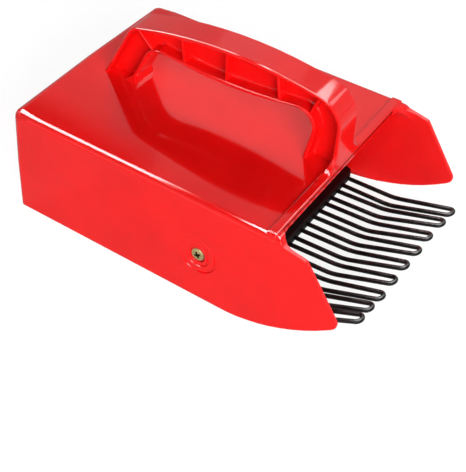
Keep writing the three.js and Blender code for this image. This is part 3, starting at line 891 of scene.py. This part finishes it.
# Lamps that light the rake: name, the power that it takes and its share of it, place, target,
# width and height, and whether reflections show it
LAMPS = (
    ("key", "key", 1, (1.1, -1.0, 0.75), (0.05, 0, 0.04), (0.8, 0.8), False),
    ("fill", "fill", 1, (0.25, -1.5, 0.45), (0.03, 0, 0.04), (1.0, 0.7), True),
    ("back", "back", 1, (-0.75, 1.25, 1.35), (0.02, 0, 0.07), (0.5, 0.5), False),
    ("back_right", "back", 0.3, (0.5, 1.3, 1.3), (0.02, 0, 0.07), (0.5, 0.5), False),
)
# Lamps that only reflections show, for the gloss's highlights: name, place, target, width and
# height, and radiance
GLINTS = (
    ("rear_strip", (-0.92, 0.03, 1.07), (-0.92, 0.03, 0), (0.96, 0.9), 20),
    ("lip_strip", (-0.25, 0.0, 1.07), (-0.25, 0.0, 0), (0.06, 1.0), 26),
    ("handle_strip", (0.155, 0.1, 1.07), (0.155, 0.1, 0), (0.69, 0.5), 16),
    ("bend_box", (0.2, 0.775, 1.05), (0.07, 0, 0.1), (0.5, 0.35), 8),
    ("panel_box", (-0.45, 1.05, 1.0), (0.05, 0, 0.08), (0.5, 0.5), 0.3),
    ("groove_box", (0.47, -0.55, 1.07), (0.06, -0.07, 0.03), (0.4, 0.4), 10),
    ("lip_box", (0.72, 1.0, 1.07), (0.1, 0, 0.07), (0.4, 0.4), 3),
)

# The walls that reflections see end where height over distance to the side passes this, and the
# ceiling over them has this share of their brightness
WALL_TOP = 1.01
WALL_FADE = 0.02
CEILING_SHARE = 0.1

CAMERA_PLACE = Vector((297.04, -452.68, 473.42)) * MM
CAMERA_AZIMUTH = math.radians(31.66)
CAMERA_ELEVATION = math.radians(41.34)
CAMERA_ROLL = math.radians(3.22)
CAMERA_LENS = 85.56
CAMERA_SENSOR = 36
CAMERA_SHIFT = (0.06, -0.10)
CAMERA_CLIP = (0.05, 20)


def add_light(name, place, target, size, power, diffuse=True, glossy=True):
    """Adds a rectangular lamp that faces its target."""
    light = bpy.data.lights.new(name, "AREA")
    light.shape = "RECTANGLE"
    light.size, light.size_y = size
    light.energy = power
    lamp = bpy.data.objects.new(name, light)
    lamp.location = place
    lamp.rotation_euler = (Vector(target) - Vector(place)).to_track_quat("-Z", "Y").to_euler()
    lamp.visible_diffuse, lamp.visible_glossy = diffuse, glossy
    bpy.context.scene.collection.objects.link(lamp)


def add_camera():
    """Adds the camera that stands where the photograph was taken from."""
    back = Vector((
        math.sin(CAMERA_AZIMUTH) * math.cos(CAMERA_ELEVATION),
        -math.cos(CAMERA_AZIMUTH) * math.cos(CAMERA_ELEVATION),
        math.sin(CAMERA_ELEVATION),
    ))
    right = (-back).cross(Vector((0, 0, 1))).normalized()
    up = right.cross(-back)
    turn = Matrix((right, up, back)).transposed() @ Matrix.Rotation(CAMERA_ROLL, 3, "Z")
    data = bpy.data.cameras.new("camera")
    data.lens = CAMERA_LENS
    data.sensor_width = CAMERA_SENSOR
    data.shift_x, data.shift_y = CAMERA_SHIFT
    data.clip_start, data.clip_end = CAMERA_CLIP
    camera = bpy.data.objects.new("camera", data)
    camera.matrix_world = Matrix.Translation(CAMERA_PLACE) @ turn.to_4x4()
    bpy.context.scene.collection.objects.link(camera)
    bpy.context.scene.camera = camera


def on_rays(tree, *kinds):
    """1 on rays of the named kinds and 0 on all others."""
    rays = add_node(tree, "ShaderNodeLightPath")
    share = rays.outputs[kinds[0]]
    for kind in kinds[1:]:
        share = add_node(
            tree, "ShaderNodeMath", [("operation", "MAXIMUM")], _0=share, _1=rays.outputs[kind],
        ).outputs[0]
    return share


def studio_walls(tree, surround):
    """Plain white to the camera, and to reflections two long walls and a dark ceiling.

    The walls run along the rake's two sides, so the ceiling ends their sheen on the top panel
    before its near edge.
    """
    place = add_node(tree, "ShaderNodeTexCoord")
    parts = add_node(tree, "ShaderNodeSeparateXYZ", Vector=place.outputs["Generated"])
    across = add_node(tree, "ShaderNodeMath", [("operation", "ABSOLUTE")], _0=parts.outputs["Y"])
    slope = add_node(
        tree, "ShaderNodeMath", [("operation", "DIVIDE")],
        _0=parts.outputs["Z"], _1=across.outputs[0],
    )
    level = add_node(
        tree, "ShaderNodeMapRange",
        [("From Min", WALL_TOP - WALL_FADE), ("From Max", WALL_TOP + WALL_FADE),
         ("To Min", surround), ("To Max", CEILING_SHARE * surround)],
        Value=slope.outputs[0],
    )
    return add_node(
        tree, "ShaderNodeMix", [(NUMBER_B, 1.0)],
        Factor=on_rays(tree, "Is Camera Ray"), _2=level.outputs[0],
    ).outputs[0]


def add_sky(strength, surround):
    """Even light from all round. The camera, reflections and glass see the walls in its place."""
    world = bpy.data.worlds.new("studio")
    bpy.context.scene.world = world
    world.use_nodes = True
    tree = world.node_tree
    tree.nodes.clear()
    light = add_node(tree, "ShaderNodeBackground", [("Color", WHITE), ("Strength", strength)])
    walls = add_node(
        tree, "ShaderNodeBackground", [("Color", WHITE)], Strength=studio_walls(tree, surround),
    )
    mixed = add_node(
        tree, "ShaderNodeMixShader",
        _0=on_rays(tree, "Is Camera Ray", "Is Glossy Ray", "Is Transmission Ray"),
        _1=light.outputs[0], _2=walls.outputs[0],
    )
    output = add_node(tree, "ShaderNodeOutputWorld")
    tree.links.new(mixed.outputs[0], output.inputs["Surface"])


def white_paper(name, colour, surround):
    """Matt white paper, lifted towards white where the camera or a reflection sees it."""
    material, tree = new_material(name)
    paper = add_node(
        tree, "ShaderNodeBsdfDiffuse", [("Color", colour), ("Roughness", PAPER_ROUGHNESS)],
    )
    level = add_node(
        tree, "ShaderNodeMix",
        [(NUMBER_A, GLOW_TO_REFLECTIONS * surround), (NUMBER_B, GLOW_TO_CAMERA)],
        Factor=on_rays(tree, "Is Camera Ray"),
    )
    glow = add_node(
        tree, "ShaderNodeEmission", [("Color", WHITE)], Strength=level.outputs[0],
    )
    share = add_node(
        tree, "ShaderNodeMath", [("operation", "MULTIPLY"), (1, GLOW_SHARE)],
        _0=on_rays(tree, "Is Camera Ray", "Is Glossy Ray"),
    )
    mixed = add_node(
        tree, "ShaderNodeMixShader",
        _0=share.outputs[0], _1=paper.outputs[0], _2=glow.outputs[0],
    )
    surface_from(tree, mixed)
    return material


class RAKE_OT_stage(bpy.types.Operator):
    """Set up the floor, lights and camera"""
    bl_idname = "rake.stage"
    bl_label = "Stage"

    def execute(self, context):
        studio = context.scene.rake_studio
        bm = bmesh.new()
        bmesh.ops.create_grid(
            bm, x_segments=1, y_segments=1, size=FLOOR_HALF,
            matrix=Matrix.Translation((0, 0, FLOOR_Z)),
        )
        paper = white_paper("matt paper, white", studio.floor, studio.surround)
        floor = finished(bm, "floor", paper)
        for name, power, share, place, target, size, glossy in LAMPS:
            add_light(name, place, target, size, getattr(studio, power) * share, glossy=glossy)
        for name, place, target, size, radiance in GLINTS:
            power = math.pi * radiance * studio.glint * size[0] * size[1]
            add_light(name, place, target, size, power, diffuse=False)
        add_sky(studio.sky, studio.surround)
        add_camera()
        return {"FINISHED"}


class RAKE_PT_panel(bpy.types.Panel):
    """Sizes, colours and steps of the berry picking rake"""
    bl_idname = "RAKE_PT_panel"
    bl_label = "Berry Picking Rake"
    bl_space_type = "VIEW_3D"
    bl_region_type = "UI"
    bl_category = "Rake"

    def draw(self, context):
        layout = self.layout
        for operator in OPERATORS:
            layout.operator(operator.bl_idname)
        for group in (
            context.scene.rake_sizes, context.scene.rake_finishes, context.scene.rake_studio,
        ):
            box = layout.box()
            for name in group.__annotations__:
                box.prop(group, name)


GROUPS = (RakeSizes, RakeFinishes, RakeStudio)
OPERATORS = (RAKE_OT_scoop, RAKE_OT_comb, RAKE_OT_tines, RAKE_OT_screws, RAKE_OT_stage)


def register():
    for item in GROUPS + OPERATORS + (RAKE_PT_panel,):
        bpy.utils.register_class(item)
    bpy.types.Scene.rake_sizes = bpy.props.PointerProperty(type=RakeSizes)
    bpy.types.Scene.rake_finishes = bpy.props.PointerProperty(type=RakeFinishes)
    bpy.types.Scene.rake_studio = bpy.props.PointerProperty(type=RakeStudio)


def unregister():
    del bpy.types.Scene.rake_studio
    del bpy.types.Scene.rake_finishes
    del bpy.types.Scene.rake_sizes
    for item in reversed(GROUPS + OPERATORS + (RAKE_PT_panel,)):
        bpy.utils.unregister_class(item)


def main():
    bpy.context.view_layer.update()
    register()
    bpy.ops.rake.scoop()
    bpy.ops.rake.comb()
    bpy.ops.rake.tines()
    bpy.ops.rake.screws()
    bpy.ops.rake.stage()
    bpy.context.scene.view_settings.view_transform = "Standard"


if __name__ == "__main__":
    main()
